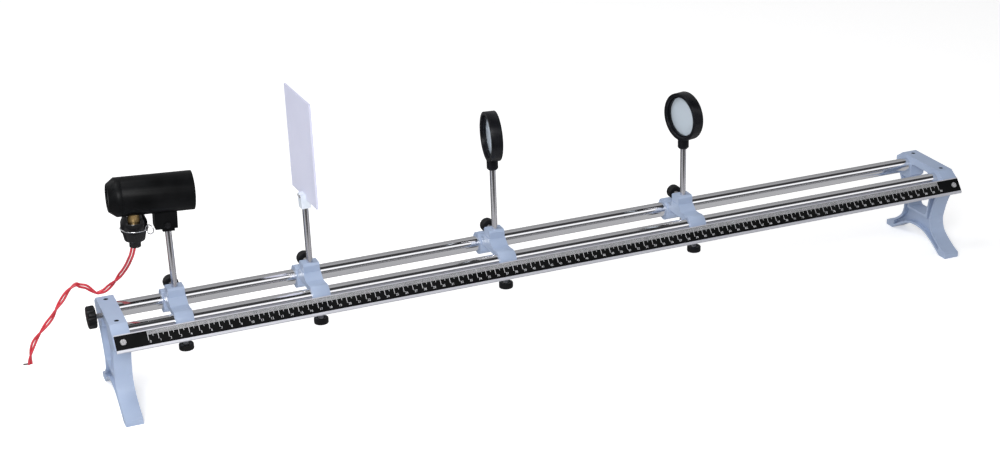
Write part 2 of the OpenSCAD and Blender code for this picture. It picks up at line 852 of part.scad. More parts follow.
// Block that joins the lamp tube to its post
module lamp_block() {
    color(black)
        difference() {
            at_lamp()
                difference() {
                    union() {
                        translate([block_x - block_w / 2, -block_depth / 2, lamp_foot_z + block_foot_h])
                            cube([block_w, block_depth, block_h - block_foot_h + tube_d / 4]);
                        translate([-block_foot_w / 2, -block_foot_w / 2, lamp_foot_z])
                            cube([block_foot_w, block_foot_w, block_foot_h]);
                    }
                    translate([block_x, 0, tube_z]) bar_x(2 * block_w, tube_d / 2);
                    block_screw_shank(over);
                }
            translate([lamp_x, 0, 0]) post_socket(lamp_foot_z);
        }
}

module block_screw_shank(extra) {
    tip_y = -post_d / 2 - 2 * tip_gap;
    translate([block_x + block_screw_side, -block_depth / 2 - extra, lamp_foot_z + block_screw_up])
        rotate([-90, 0, 0])
            cylinder(h = tip_y + block_depth / 2 + extra, r = block_shank_r, $fn = fine_fn);
}

module lamp_block_screw() {
    color(steel)
        at_lamp() {
            block_screw_shank(0);
            translate([block_x + block_screw_side, -block_depth / 2 - block_screw_t,
                lamp_foot_z + block_screw_up])
                rotate([-90, 0, 0])
                    difference() {
                        cylinder(h = block_screw_t, r = block_screw_r, $fn = fine_fn);
                        translate([-2 * block_screw_r, -slot_w / 2, -over])
                            cube([4 * block_screw_r, slot_w, slot_deep + over]);
                    }
        }
}

// Collar of the bulb holder, open in front and behind, shaped to the tube above it
module lamp_holder_collar() {
    color(black)
        at_lamp()
            difference() {
                translate([holder_x, 0, collar_z])
                    difference() {
                        rotate_extrude($fn = smooth_fn)
                            polygon([
                                [bulb_base_d / 2 + collar_bore_gap, 0], [holder_d / 2, 0],
                                [holder_d / 2, collar_band_h],
                                [collar_top_r, collar_band_h + collar_taper_h],
                                [collar_top_r, collar_h + collar_top_r / 2],
                                [bulb_base_d / 2 + collar_bore_gap, collar_h + collar_top_r / 2]]);
                        translate([-collar_window_w / 2, -holder_d, collar_window_low])
                            cube([collar_window_w, 2 * holder_d, collar_h + collar_top_r]);
                    }
                translate([holder_x, 0, tube_z]) bar_x(2 * holder_d, tube_d / 2);
                wire_ring();
            }
}

// Tapered cap and neck under the bulb holder's collar
module lamp_holder_cap() {
    color(black)
        at_lamp()
            translate([holder_x, 0, neck_z])
                rotate_extrude($fn = smooth_fn)
                    polygon([
                        [0, 0], [neck_d / 2, 0], [neck_d / 2, neck_h],
                        [cap_mid_r, neck_h + holder_cap_h - cap_mid_drop],
                        [cap_top_r, neck_h + holder_cap_h], [0, neck_h + holder_cap_h]]);
}

module bulb_base() {
    color(brass)
        at_lamp()
            translate([holder_x, 0, collar_z])
                cylinder(h = collar_h + base_rise, r = bulb_base_d / 2, $fn = fine_fn);
}

module bulb_glass() {
    base_z = collar_z + collar_h + base_rise;
    color(glass)
        at_lamp()
            translate([holder_x, 0, 0]) {
                translate([0, 0, base_z]) cylinder(h = tube_z - base_z, r = bulb_neck_r, $fn = fine_fn);
                translate([0, 0, tube_z]) sphere(r = bulb_d / 2, $fn = smooth_fn);
            }
}

// Wire that runs round the collar
module wire_ring() {
    translate([holder_x, 0, collar_z + wire_up])
        rotate_extrude($fn = smooth_fn)
            translate([holder_d / 2 + wire_r / 2, 0]) circle(wire_r, $fn = fine_fn / 2);
}

module lamp_wire_clip() {
    loop_reach = loop_r + loop_wire_r;
    loop_out = sqrt(loop_reach * loop_reach - loop_up * loop_up);
    color(steel)
        at_lamp() {
            wire_ring();
            translate([holder_x, 0, collar_z + wire_up])
                rotate([0, 0, -loop_turn])
                    translate([holder_d / 2 + wire_r / 2 + loop_out, 0, loop_up])
                        rotate([90, 0, 0])
                            rotate_extrude($fn = fine_fn)
                                translate([loop_r, 0]) circle(loop_wire_r, $fn = fine_fn / 2);
        }
}

// Direction of the lead at one of its points: out of the neck, along the points, and down at the end
function lead_way(i) =
    (i == 0) ? [-sin(lamp_tilt) * cos(lamp_yaw), -sin(lamp_tilt) * sin(lamp_yaw), -cos(lamp_tilt)]
    : (i == len(lead_points) - 1) ? [0, 0, -1]
    : let (v = lead_points[i + 1] - lead_points[i - 1]) v / norm(v);

// Ring of points round the lead at one of its points
function lead_ring(i) =
    let (t = lead_way(i))
    let (across = cross(t, [0, 1, 0]))
    let (s = across / norm(across))
    let (u = cross(s, t))
    [for (k = [0 : lead_sides - 1])
        let (a = 360 * k / lead_sides)
        lead_points[i] + lead_d / 2 * (cos(a) * s + sin(a) * u)];

module lead() {
    n = len(lead_points);
    m = lead_sides;
    walls = [for (i = [0 : n - 2], k = [0 : m - 1])
        let (a = i * m + k)
        let (b = i * m + (k + 1) % m)
        each [[a, b, b + m], [a, b + m, a + m]]];
    first = [for (k = [m - 1 : -1 : 0]) k];
    last = [for (k = [0 : m - 1]) (n - 1) * m + k];
    color(lead_red)
        translate(lead_start)
            polyhedron([for (i = [0 : n - 1]) each lead_ring(i)], concat([first, last], walls));
}

// Bare ends of the wires, twisted together and bent to one side
module lead_tip() {
    color(black)
        translate(lead_start + lead_points[len(lead_points) - 1])
            translate([0, 0, -tip_stub]) {
                cylinder(h = tip_stub, r = tip_r, $fn = fine_fn);
                sphere(r = tip_r, $fn = fine_fn);
                rotate([0, -tip_turn, 0]) cylinder(h = lead_tip_len, r = tip_r, $fn = fine_fn);
            }
}

left_support();
right_support();
rod(rod_y);  // rear_rod
rod(-rod_y);  // front_rod
rod_screws();
scale_rail();
scale_plate();
scale_screws();
end_knob();
end_stud();
rider(scale_x0 + lamp_at);  // lamp_rider
rider(scale_x0 + screen_at);  // screen_rider
rider(scale_x0 + near_lens_at);  // near_lens_rider
rider(scale_x0 + far_lens_at);  // far_lens_rider
clamp_knob(scale_x0 + lamp_at);  // lamp_clamp_knob
clamp_knob(scale_x0 + screen_at);  // screen_clamp_knob
clamp_knob(scale_x0 + near_lens_at);  // near_lens_clamp_knob
clamp_knob(scale_x0 + far_lens_at);  // far_lens_clamp_knob
clamp_stud(scale_x0 + lamp_at);  // lamp_clamp_stud
clamp_stud(scale_x0 + screen_at);  // screen_clamp_stud
clamp_stud(scale_x0 + near_lens_at);  // near_lens_clamp_stud
clamp_stud(scale_x0 + far_lens_at);  // far_lens_clamp_stud
post_knob(scale_x0 + lamp_at);  // lamp_post_knob
post_knob(scale_x0 + screen_at);  // screen_post_knob
post_knob(scale_x0 + near_lens_at);  // near_lens_post_knob
post_knob(scale_x0 + far_lens_at);  // far_lens_post_knob
post_stud(scale_x0 + lamp_at);  // lamp_post_stud
post_stud(scale_x0 + screen_at);  // screen_post_stud
post_stud(scale_x0 + near_lens_at);  // near_lens_post_stud
post_stud(scale_x0 + far_lens_at);  // far_lens_post_stud
post(scale_x0 + lamp_at, lamp_up);  // lamp_post
post(scale_x0 + screen_at, screen_up);  // screen_post
post(scale_x0 + near_lens_at, near_lens_up);  // near_lens_post
post(scale_x0 + far_lens_at, far_lens_up);  // far_lens_post
lamp_tube();
lamp_rear_cap();
lamp_rear_disc();
lamp_front_lens();
lamp_front_ring();
lamp_block();
lamp_block_screw();
lamp_holder_collar();
lamp_holder_cap();
bulb_base();
bulb_glass();
lamp_wire_clip();
lead();
lead_tip();
screen_sheet();
screen_clip();
screen_rivets();
near_axis() lens_ring();  // near_lens_ring
near_axis() lens_glass();  // near_lens_glass
near_axis() lens_retainer();  // near_lens_retainer
near_foot() lens_hub();  // near_lens_hub
far_axis() lens_ring();  // far_lens_ring
far_axis() lens_glass();  // far_lens_glass
far_axis() lens_retainer();  // far_lens_retainer
far_foot() lens_hub();  // far_lens_hub
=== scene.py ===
import math
import bpy
import bmesh
from mathutils import Euler, Matrix, Vector


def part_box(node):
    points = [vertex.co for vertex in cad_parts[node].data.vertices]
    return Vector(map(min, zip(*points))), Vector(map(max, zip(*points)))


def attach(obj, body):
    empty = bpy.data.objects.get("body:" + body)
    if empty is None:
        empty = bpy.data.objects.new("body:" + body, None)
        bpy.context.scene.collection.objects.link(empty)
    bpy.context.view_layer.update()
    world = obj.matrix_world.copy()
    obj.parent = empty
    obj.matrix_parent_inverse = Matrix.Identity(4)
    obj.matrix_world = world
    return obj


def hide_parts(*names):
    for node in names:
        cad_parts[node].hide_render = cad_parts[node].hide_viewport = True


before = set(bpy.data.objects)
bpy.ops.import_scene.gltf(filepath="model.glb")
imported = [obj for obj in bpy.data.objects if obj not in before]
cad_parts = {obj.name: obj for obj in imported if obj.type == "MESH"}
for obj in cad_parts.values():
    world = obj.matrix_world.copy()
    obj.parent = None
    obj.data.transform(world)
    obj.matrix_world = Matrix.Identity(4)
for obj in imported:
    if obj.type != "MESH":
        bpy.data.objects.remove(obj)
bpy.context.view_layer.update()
scene = bpy.context.scene
scene.view_settings.view_transform = "Standard"
MM = 0.001


def link(obj):
    """Puts an object in the scene and hands it back."""
    scene.collection.objects.link(obj)
    return obj


def new_piece(name, bm, material, smooth_angle=35):
    """Mesh object from a bmesh, with smooth faces and sharp edges above an angle."""
    bmesh.ops.recalc_face_normals(bm, faces=bm.faces)
    sharp = math.radians(smooth_angle)
    for f in bm.faces:
        f.smooth = True
    for e in bm.edges:
        e.smooth = len(e.link_faces) != 2 or e.calc_face_angle(0) <= sharp
    mesh = bpy.data.meshes.new(name)
    bm.to_mesh(mesh)
    bm.free()
    mesh.materials.append(material)
    return link(bpy.data.objects.new(name, mesh))


# Camera, fitted to the scale's marks, the rods and the supports in the photo
camera = link(bpy.data.objects.new("camera", bpy.data.cameras.new("camera")))
camera.location = (-0.68433, -1.63520, 0.82666)
camera.rotation_euler = Euler((math.radians(65.5636), math.radians(1.5960), math.radians(-22.3445)))
camera.data.sensor_width = 36
camera.data.lens = 64.513
camera.data.shift_x = -0.01667
camera.data.shift_y = 0.06275
camera.data.clip_end = 60
scene.camera = camera


# Node materials
THREAD_SCALE = 400


def noise_of(nt, coords, scale, detail, stretch):
    """Noise in coordinates that are stretched along one axis for drawn or turned metal."""
    place = nt.nodes.new("ShaderNodeMapping")
    place.inputs["Scale"].default_value = stretch
    tex = nt.nodes.new("ShaderNodeTexNoise")
    tex.inputs["Scale"].default_value = scale
    tex.inputs["Detail"].default_value = detail
    nt.links.new(coords, place.inputs["Vector"])
    nt.links.new(place.outputs["Vector"], tex.inputs["Vector"])
    return tex.outputs["Fac"]


def ramp_of(nt, fac, low, high):
    """Colour that goes from low to high over the middle of the noise's range."""
    ramp = nt.nodes.new("ShaderNodeValToRGB")
    for element, place, colour in zip(ramp.color_ramp.elements, (0.35, 0.65), (low, high)):
        element.position = place
        element.color = (*colour, 1)
    nt.links.new(fac, ramp.inputs["Fac"])
    return ramp.outputs["Color"]


def range_of(nt, fac, low, high):
    """Value that goes from low to high over the middle of the noise's range."""
    node = nt.nodes.new("ShaderNodeMapRange")
    node.inputs["From Min"].default_value = 0.3
    node.inputs["From Max"].default_value = 0.7
    node.inputs["To Min"].default_value = low
    node.inputs["To Max"].default_value = high
    nt.links.new(fac, node.inputs["Value"])
    return node.outputs["Result"]


def surface(name, low, high, rough, metal=0.0, spots=25.0, grain=900.0, bump=0.1, depth=0.05,
            stretch=(1, 1, 1), thread=None, **sockets):
    """Material with colour, roughness and bump from noise in the piece's own coordinates.

    A thread axis takes the bump from bands along it, and the sockets are set as they are.
    """
    material = bpy.data.materials.new(name)
    material.use_nodes = True
    nt = material.node_tree
    shader = nt.nodes["Principled BSDF"]
    coords = nt.nodes.new("ShaderNodeTexCoord").outputs["Object"]
    blotches = noise_of(nt, coords, spots, 3, stretch)
    nt.links.new(ramp_of(nt, blotches, low, high), shader.inputs["Base Color"])
    fine = noise_of(nt, coords, grain, 2, stretch)
    nt.links.new(range_of(nt, fine, *rough), shader.inputs["Roughness"])
    shader.inputs["Metallic"].default_value = metal
    for key, value in sockets.items():
        shader.inputs[key.replace("_", " ")].default_value = value
    height = fine
    bump_node = nt.nodes.new("ShaderNodeBump")
    bump_node.inputs["Strength"].default_value = bump
    bump_node.inputs["Distance"].default_value = depth * MM
    if thread:
        wave = nt.nodes.new("ShaderNodeTexWave")
        wave.bands_direction = thread
        wave.inputs["Scale"].default_value = THREAD_SCALE
        nt.links.new(coords, wave.inputs["Vector"])
        height = wave.outputs["Fac"]
    nt.links.new(height, bump_node.inputs["Height"])
    nt.links.new(bump_node.outputs["Normal"], shader.inputs["Normal"])
    return material


cast_paint = surface("cast_blue", (0.345, 0.425, 0.585), (0.39, 0.47, 0.63), (0.36, 0.48),
                     spots=22, grain=700, bump=0.25, depth=0.06, Specular_IOR_Level=0.35)
rod_chrome = surface("rod_steel", (0.70, 0.70, 0.72), (0.80, 0.80, 0.82), (0.05, 0.13), metal=1,
                     spots=60, grain=1500, bump=0.06, depth=0.01, stretch=(0.02, 1, 1))
post_chrome = surface("post_steel", (0.68, 0.67, 0.70), (0.80, 0.79, 0.82), (0.08, 0.16), metal=1,
                      spots=60, grain=1500, bump=0.06, depth=0.01, stretch=(1, 1, 0.05))
thread_z, thread_y, thread_x = [
    surface("thread_" + axis.lower(), (0.42, 0.42, 0.44), (0.56, 0.56, 0.58), (0.25, 0.4), metal=1,
            bump=0.9, depth=0.3, thread=axis)
    for axis in "ZYX"
]
screw_steel = surface("screw_steel", (0.60, 0.60, 0.61), (0.74, 0.74, 0.75), (0.22, 0.34), metal=1,
                      spots=300)
# Near-black steel for the lamp block's screw and the rod screws; on the rod screws this near-black is
# painted shade of the deck holes
dark_steel_and_hole_shade = surface("dark_steel_and_hole_shade", (0.004, 0.004, 0.005), (0.010, 0.010, 0.012), (0.40, 0.55),
                     spots=300, Specular_IOR_Level=0.2)
rail_alu = surface("rail_aluminium", (0.56, 0.565, 0.62), (0.64, 0.645, 0.70), (0.36, 0.48),
                   metal=0.6, spots=50, grain=1600, bump=0.10, depth=0.015, stretch=(0.012, 1, 1))
plate_black = surface("scale_black", (0.0018, 0.0020, 0.0022), (0.0045, 0.0048, 0.0052),
                      (0.36, 0.48), spots=30, grain=1400, bump=0.05, depth=0.01,
                      Specular_IOR_Level=0.08)
tick_white = surface("tick_white", (0.62, 0.63, 0.66), (0.72, 0.73, 0.76), (0.5, 0.6), spots=200,
                     bump=0.02)
knob_black = surface("knob_black", (0.003, 0.003, 0.004), (0.008, 0.008, 0.009), (0.34, 0.48),
                     spots=120, grain=1800, bump=0.2, depth=0.04, Specular_IOR_Level=0.2)
satin_black = surface("satin_black", (0.002, 0.0022, 0.0025), (0.0055, 0.0058, 0.0065), (0.34, 0.46),
                      spots=35, grain=1300, bump=0.16, depth=0.03, Specular_IOR_Level=0.09)
ring_black = surface("ring_black", (0.003, 0.0033, 0.0045), (0.008, 0.0085, 0.011), (0.24, 0.36),
                     spots=60, grain=1500, bump=0.12, depth=0.02, Specular_IOR_Level=0.2)
holder_black = surface("holder_black", (0.002, 0.002, 0.0025), (0.006, 0.006, 0.007), (0.14, 0.24),
                       spots=90, grain=900, bump=0.08, depth=0.03, Specular_IOR_Level=0.4)
disc_alu = surface("disc_aluminium", (0.70, 0.71, 0.72), (0.82, 0.83, 0.84), (0.20, 0.34), metal=1,
                   spots=80, grain=1500, bump=0.08, depth=0.02, stretch=(1, 1, 0.1))
brass = surface("base_brass", (0.58, 0.38, 0.15), (0.72, 0.50, 0.23), (0.26, 0.40), metal=0.75,
                spots=180)
wire_steel = surface("wire_steel", (0.60, 0.60, 0.61), (0.78, 0.78, 0.80), (0.12, 0.22), metal=1,
                     spots=150)
lead_red = surface("lead_red", (0.56, 0.030, 0.050), (0.68, 0.050, 0.075), (0.28, 0.40),
                   spots=90, grain=900, bump=0.10, depth=0.03, Subsurface_Weight=0.05)
# Dark copper for the bare wire ends; the darkness is partly painted shade
tip_dark = surface("tip_dark", (0.03, 0.012, 0.010), (0.10, 0.045, 0.035), (0.3, 0.5), metal=0.7,
                   spots=900)
screen_white = surface("screen_white", (0.66, 0.675, 0.83), (0.70, 0.715, 0.87), (0.42, 0.52),
                       spots=14, grain=1000, bump=0.05, depth=0.02, Specular_IOR_Level=0.35)
clip_white = surface("clip_white", (0.68, 0.74, 0.82), (0.75, 0.80, 0.88), (0.3, 0.42), spots=120)


def clear_glass(name, tint_and_sheen, rough, clear, ior):
    """Polished glass of one even colour, with faint wipe marks in its roughness. Where less than all
    of the light goes through, the rest shows the colour as a diffuse surface, which on the lenses is
    painted sheen.
    """
    material = surface(name, tint_and_sheen, tint_and_sheen, rough, grain=220, bump=0.0)
    shader = material.node_tree.nodes["Principled BSDF"]
    for wire in list(shader.inputs["Base Color"].links):
        material.node_tree.links.remove(wire)
    shader.inputs["Base Color"].default_value = (*tint_and_sheen, 1)
    shader.inputs["Transmission Weight"].default_value = clear
    shader.inputs["IOR"].default_value = ior
    return material


# The lenses let under half of the light through and show the rest as a pale bluish diffuse colour, a
# painted sheen that stands in for what the glass reflects and shows through it
lens_glass = clear_glass("lens_glass", (0.72, 0.80, 0.88), (0.02, 0.08), 0.45, 1.3)
bulb_clear = clear_glass("bulb_glass", (0.97, 0.98, 0.98), (0.0, 0.02), 1.0, 1.5)


# Lead: two red wires that leave the holder side by side and twist round each other lower down.
# Its course follows the photo across the picture; how far back it hangs is assumed.
WIRE_R = 1.22 * MM
WIRE_APART = 1.46 * MM
TWIST_START = 56 * MM
TWIST_PITCH = 56 * MM
FIRST_SIDE = (0.92, -0.38, -0.03)
lead_relative = [
    (0, 0, 0), (-2, 5.5, -10.5), (-3.5, 13, -18.5), (-5, 22, -27), (-7.5, 31.5, -36),
    (-10.5, 40, -44), (-14.5, 47, -51.5), (-19, 54, -59), (-25, 57.5, -65), (-30, 58, -66.5),
    (-34, 58, -66.5), (-38.5, 58, -62.5), (-43, 58, -58), (-49, 58, -55.5), (-52.5, 58, -53.5),
    (-57, 58, -55.5), (-62.5, 58, -60), (-68, 58, -67), (-74.5, 58, -75), (-80.5, 58, -84),
    (-87.5, 58, -91.5), (-94.5, 58, -99), (-100.5, 58, -106.5), (-105, 58, -115.5), (-107.5, 58, -124),
    (-108.5, 58, -131),
]
lead_exit = Vector((-0.43506, 0.00122, 0.16081))
lead_points = [lead_exit + Vector(p) * MM for p in lead_relative]


def spline_through(points, steps):
    """Smooth curve that passes through every point."""
    out = []
    for i in range(len(points) - 1):
        a, b = points[max(i - 1, 0)], points[i]
        c, d = points[i + 1], points[min(i + 2, len(points) - 1)]
        for k in range(steps):
            t = k / steps
            out.append(0.5 * (2 * b + (c - a) * t + (2 * a - 5 * b + 4 * c - d) * t * t
                              + (3 * b - a - 3 * c + d) * t ** 3))
    return out + [points[-1]]


def add_tube(bm, line, radius, sides):
    """Closed round tube along a line, with frames carried along it so that it doesn't twist."""
    n = len(line)
    side = None
    rings = []
    for i, p in enumerate(line):
        way = (line[min(i + 1, n - 1)] - line[max(i - 1, 0)]).normalized()
        if side is None:
            across = Vector((0, 0, 1)) if abs(way.z) < 0.9 else Vector((1, 0, 0))
            side = way.cross(across).normalized()
        side = (side - way * side.dot(way)).normalized()
        up = way.cross(side)
        rings.append([bm.verts.new(p + radius * (math.cos(a) * side + math.sin(a) * up))
                      for a in (2 * math.pi * k / sides for k in range(sides))])
    for low, high in zip(rings, rings[1:]):
        for k in range(sides):
            bm.faces.new((low[k], low[(k + 1) % sides], high[(k + 1) % sides], high[k]))
    bm.faces.new(list(reversed(rings[0])))
    bm.faces.new(rings[-1])


def pair_lines(line, apart, start, pitch, first_side):
    """Two lines on either side of a line, straight up to start and then turning round it."""
    n = len(line)
    side = Vector(first_side)
    gone = 0.0
    one, two = [], []
    for i, p in enumerate(line):
        way = (line[min(i + 1, n - 1)] - line[max(i - 1, 0)]).normalized()
        side = (side - way * side.dot(way)).normalized()
        if i:
            gone += (p - line[i - 1]).length
        turn = 2 * math.pi * max(gone - start, 0) / pitch
        off = Matrix.Rotation(turn, 3, way) @ side * apart
        one.append(p + off)
        two.append(p - off)
    return one, two


lead_line = spline_through(lead_points, 8)
bm = bmesh.new()
lead_ends = []
for wire in pair_lines(lead_line, WIRE_APART, TWIST_START, TWIST_PITCH, FIRST_SIDE):
    add_tube(bm, wire, WIRE_R, 14)
    lead_ends.append((wire[-1], (wire[-1] - wire[-2]).normalized()))
lead = new_piece("lead_pair", bm, lead_red, 60)
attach(lead, "lamp_head")
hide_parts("lead")

# Bare ends: the strands of each wire, twisted and bent aside; their dark copper colour is partly
# painted shade
STRANDS = 4
STRAND_R = 0.4 * MM
STRAND_APART = 0.42 * MM
STRAND_STEPS = 8
STRAND_TURNS = 1.1
STRAND_INSIDE = 0.6 * MM
bm = bmesh.new()
for number, (end, way) in enumerate(lead_ends):
    for strand in range(STRANDS):
        line = []
        for k in range(STRAND_STEPS + 1):
            t = k / STRAND_STEPS
            bend = Vector((-5.4 * t ** 1.3, 0, -0.6 * t + 0.9 * t * t + 0.5 * number)) * MM
            a = 2 * math.pi * (strand / STRANDS + STRAND_TURNS * t)
            ring = Vector((0, math.cos(a), math.sin(a))) * STRAND_APART
            line.append(end - way * STRAND_INSIDE + bend + ring)
        add_tube(bm, line, STRAND_R, 8)
tip = new_piece("lead_bare_ends", bm, tip_dark, 60)
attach(tip, "lamp_head")
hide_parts("lead_tip")


# Finish of the nodes that keep their own shape
def dress(material, *names):
    """One material in every slot of the named nodes."""
    for name in names:
        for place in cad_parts[name].material_slots:
            place.material = material


def soften(width, segments, *names):
    """Rounds the hard edges of the named nodes by a width in mm, after joining flat faces."""
    for name in names:
        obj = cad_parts[name]
        weld = obj.modifiers.new("weld", "WELD")
        weld.merge_threshold = 0.01 * MM
        flat = obj.modifiers.new("flat", "DECIMATE")
        flat.decimate_type = "DISSOLVE"
        flat.angle_limit = math.radians(0.4)
        bevel = obj.modifiers.new("edge", "BEVEL")
        bevel.width = width * MM
        bevel.segments = segments
        bevel.limit_method = "ANGLE"
        bevel.angle_limit = math.radians(40)
        bevel.use_clamp_overlap = True
        bevel.harden_normals = True


CARRIERS = ("lamp", "screen", "near_lens", "far_lens")
dress(cast_paint, "left_support", "right_support", *[c + "_rider" for c in CARRIERS])
dress(rod_chrome, "rear_rod", "front_rod")
dress(post_chrome, *[c + "_post" for c in CARRIERS])
dress(thread_z, *[c + "_clamp_stud" for c in CARRIERS])
dress(thread_y, *[c + "_post_stud" for c in CARRIERS])
dress(thread_x, "end_stud")
dress(dark_steel_and_hole_shade, "lamp_block_screw")
dress(screw_steel, "scale_screws", "screen_rivets")
dress(rail_alu, "scale_rail")
dress(plate_black, "scale_plate")
dress(knob_black, "end_knob")
dress(satin_black, "lamp_tube", "lamp_rear_cap", "lamp_front_ring", "lamp_block")
dress(ring_black, "near_lens_ring", "near_lens_retainer", "near_lens_hub",
      "far_lens_ring", "far_lens_retainer", "far_lens_hub")
dress(lens_glass, "near_lens_glass", "far_lens_glass", "lamp_front_lens")
dress(bulb_clear, "bulb_glass")
dress(disc_alu, "lamp_rear_disc")
dress(holder_black, "lamp_holder_collar", "lamp_holder_cap")
dress(brass, "bulb_base")
dress(wire_steel, "lamp_wire_clip")
dress(screen_white, "screen_sheet")
dress(clip_white, "screen_clip")

soften(0.7, 3, "left_support", "right_support")
soften(0.6, 2, *[c + "_rider" for c in CARRIERS])
soften(0.15, 2, "scale_rail")
soften(0.5, 3, "scale_screws", "lamp_block_screw")
soften(0.6, 3, "end_knob", "lamp_block")
soften(0.5, 3, "near_lens_ring", "far_lens_ring", "lamp_holder_cap", "lamp_front_ring")
soften(0.4, 3, "lamp_tube", "lamp_rear_cap", "lamp_holder_collar")


# Knurled knobs of the clamp and post screws
KNOB_RIBS = 30
STEPS_A_RIB = 6
RIB_DEEP = 0.28 * MM
KNOB_EDGE = 0.9 * MM
FACE_SINK = 0.5 * MM


def knurled(name, body, axis):
    """Knob in a node's box: a ribbed rim, rounded edges and a face sunk where the axis ends."""
    low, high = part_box(name)
    centre = (low + high) / 2
    thick = (high - low)[axis]
    radius = (high - low)[(axis + 1) % 3] / 2
    bm = bmesh.new()
    outline = [
        (0.0, 0.0, False),
        (radius * 0.55, 0.0, False),
        (radius - KNOB_EDGE, 0.0, False),
        (radius - 0.25 * KNOB_EDGE, 0.35 * KNOB_EDGE, False),
        (radius, KNOB_EDGE, True),
        (radius, thick - KNOB_EDGE, True),
        (radius - 0.25 * KNOB_EDGE, thick - 0.35 * KNOB_EDGE, False),
        (radius - KNOB_EDGE, thick, False),
        (radius * 0.62, thick, False),
        (radius * 0.56, thick - FACE_SINK, False),
        (0.0, thick - FACE_SINK, False),
    ]
    count = KNOB_RIBS * STEPS_A_RIB
    rings = []
    for r, h, ribbed in outline:
        ring = []
        for k in range(count if r else 1):
            a = 2 * math.pi * k / count
            cut = RIB_DEEP * (0.5 - 0.5 * math.cos(KNOB_RIBS * a)) if ribbed else 0.0
            point = [0.0, 0.0, 0.0]
            point[axis] = centre[axis] - thick / 2 + h
            point[(axis + 1) % 3] = centre[(axis + 1) % 3] + (r - cut) * math.cos(a)
            point[(axis + 2) % 3] = centre[(axis + 2) % 3] + (r - cut) * math.sin(a)
            ring.append(bm.verts.new(point))
        rings.append(ring)
    for one, two in zip(rings, rings[1:]):
        for k in range(count):
            after = k + 1
            quad = [one[k % len(one)], one[after % len(one)], two[after % len(two)], two[k % len(two)]]
            bm.faces.new([v for i, v in enumerate(quad) if v not in quad[:i]])
    piece = new_piece(name + "_knurled", bm, knob_black, 50)
    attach(piece, body)
    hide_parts(name)


for c in CARRIERS:
    knurled(c + "_clamp_knob", c + "_clamp_screw", 2)
    knurled(c + "_post_knob", c + "_post_screw", 1)


# Slotted grub screws that hold the rods, with tops just under the decks; their near-black colour is
# painted shade that darkens the deck holes they sit in
GRUB_R = 2.46 * MM
GRUB_UNDER_DECK = 0.25 * MM
SLOT_W = 1.1 * MM
SLOT_DEEP = 0.7 * MM
GRUB_EDGE = 0.15 * MM
EDGE_SHARE = 0.9
HALF_STEPS = 12


def slotted(bm, place, low, high):
    """Closed screw whose top is two raised halves beside a slot along X."""
    start = math.asin(SLOT_W / 2 / GRUB_R)
    sweep = math.pi - 2 * start

    def arc(half, z, scale=1.0):
        turns = [start + half * math.pi + sweep * k / HALF_STEPS for k in range(HALF_STEPS + 1)]
        points = [Vector((GRUB_R * math.cos(a), GRUB_R * math.sin(a), z)) for a in turns]
        middle = sum(points, Vector()) / len(points)
        return [bm.verts.new(place + middle + (p - middle) * scale) for p in points]

    foot = arc(0, low) + arc(1, low)
    waist = arc(0, high - SLOT_DEEP) + arc(1, high - SLOT_DEEP)
    half = HALF_STEPS + 1
    for k in range(2 * half):
        after = (k + 1) % (2 * half)
        bm.faces.new((foot[k], foot[after], waist[after], waist[k]))
    bm.faces.new(list(reversed(foot)))
    bm.faces.new((waist[0], waist[half - 1], waist[half], waist[-1]))
    for side in (0, 1):
        rings = [waist[side * half:(side + 1) * half], arc(side, high - GRUB_EDGE),
                 arc(side, high, EDGE_SHARE)]
        for one, two in zip(rings, rings[1:]):
            for k in range(half):
                after = (k + 1) % half
                bm.faces.new((one[k], one[after], two[after], two[k]))
        bm.faces.new(rings[-1])


bm = bmesh.new()
seat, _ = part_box("rod_screws")
for name in ("left_support", "right_support"):
    low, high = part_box(name)
    for rod in ("front_rod", "rear_rod"):
        rod_low, rod_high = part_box(rod)
        place = Vector(((low.x + high.x) / 2, (rod_low.y + rod_high.y) / 2, 0))
        slotted(bm, place, seat.z, high.z - GRUB_UNDER_DECK)
screws = new_piece("rod_screws_slotted", bm, dark_steel_and_hole_shade)
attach(screws, "bench")
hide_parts("rod_screws")

# Scale: a tick each millimetre, longer each five and ten, and the centimetres in figures.
# Only the long marks can be told apart in the photo, so the rest and the figures are assumed.
SCALE_CM = 90
SLOPE = math.radians(40)
FACE_TOP = Vector((0, -48.5975, 93.54)) * MM
PLATE_TOP = 1.0
PRINT_LIFT = 0.03 * MM
TICK_START = 0.2
FIGURE_DOWN = 12.2
FIGURE_SIDE = 0.7
FIGURE_SIZE = 3.3 * MM
zero_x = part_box("scale_plate")[0].x + 32 * MM


def on_face(x, down):
    """Point just over the rail's sloping face, a distance in mm down from the plate's top edge."""
    down = (down + PLATE_TOP) * MM
    return FACE_TOP + Vector((x, -down * math.sin(SLOPE) - PRINT_LIFT * math.cos(SLOPE),
                              -down * math.cos(SLOPE) + PRINT_LIFT * math.sin(SLOPE)))


def tick_size(k):
    """Length and half width of a millimetre's tick."""
    if k % 10 == 0:
        return 9.6, 0.23
    return (6.0, 0.2) if k % 5 == 0 else (4.1, 0.2)


bm = bmesh.new()
for k in range(10 * SCALE_CM + 1):
    tall, half = tick_size(k)
    left = zero_x + k * MM - half * MM
    right = zero_x + k * MM + half * MM
    end = TICK_START + tall
    corners = [(left, end), (right, end), (right, TICK_START), (left, TICK_START)]
    bm.faces.new([bm.verts.new(on_face(x, down)) for x, down in corners])
ticks = new_piece("scale_ticks", bm, tick_white)
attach(ticks, "bench")

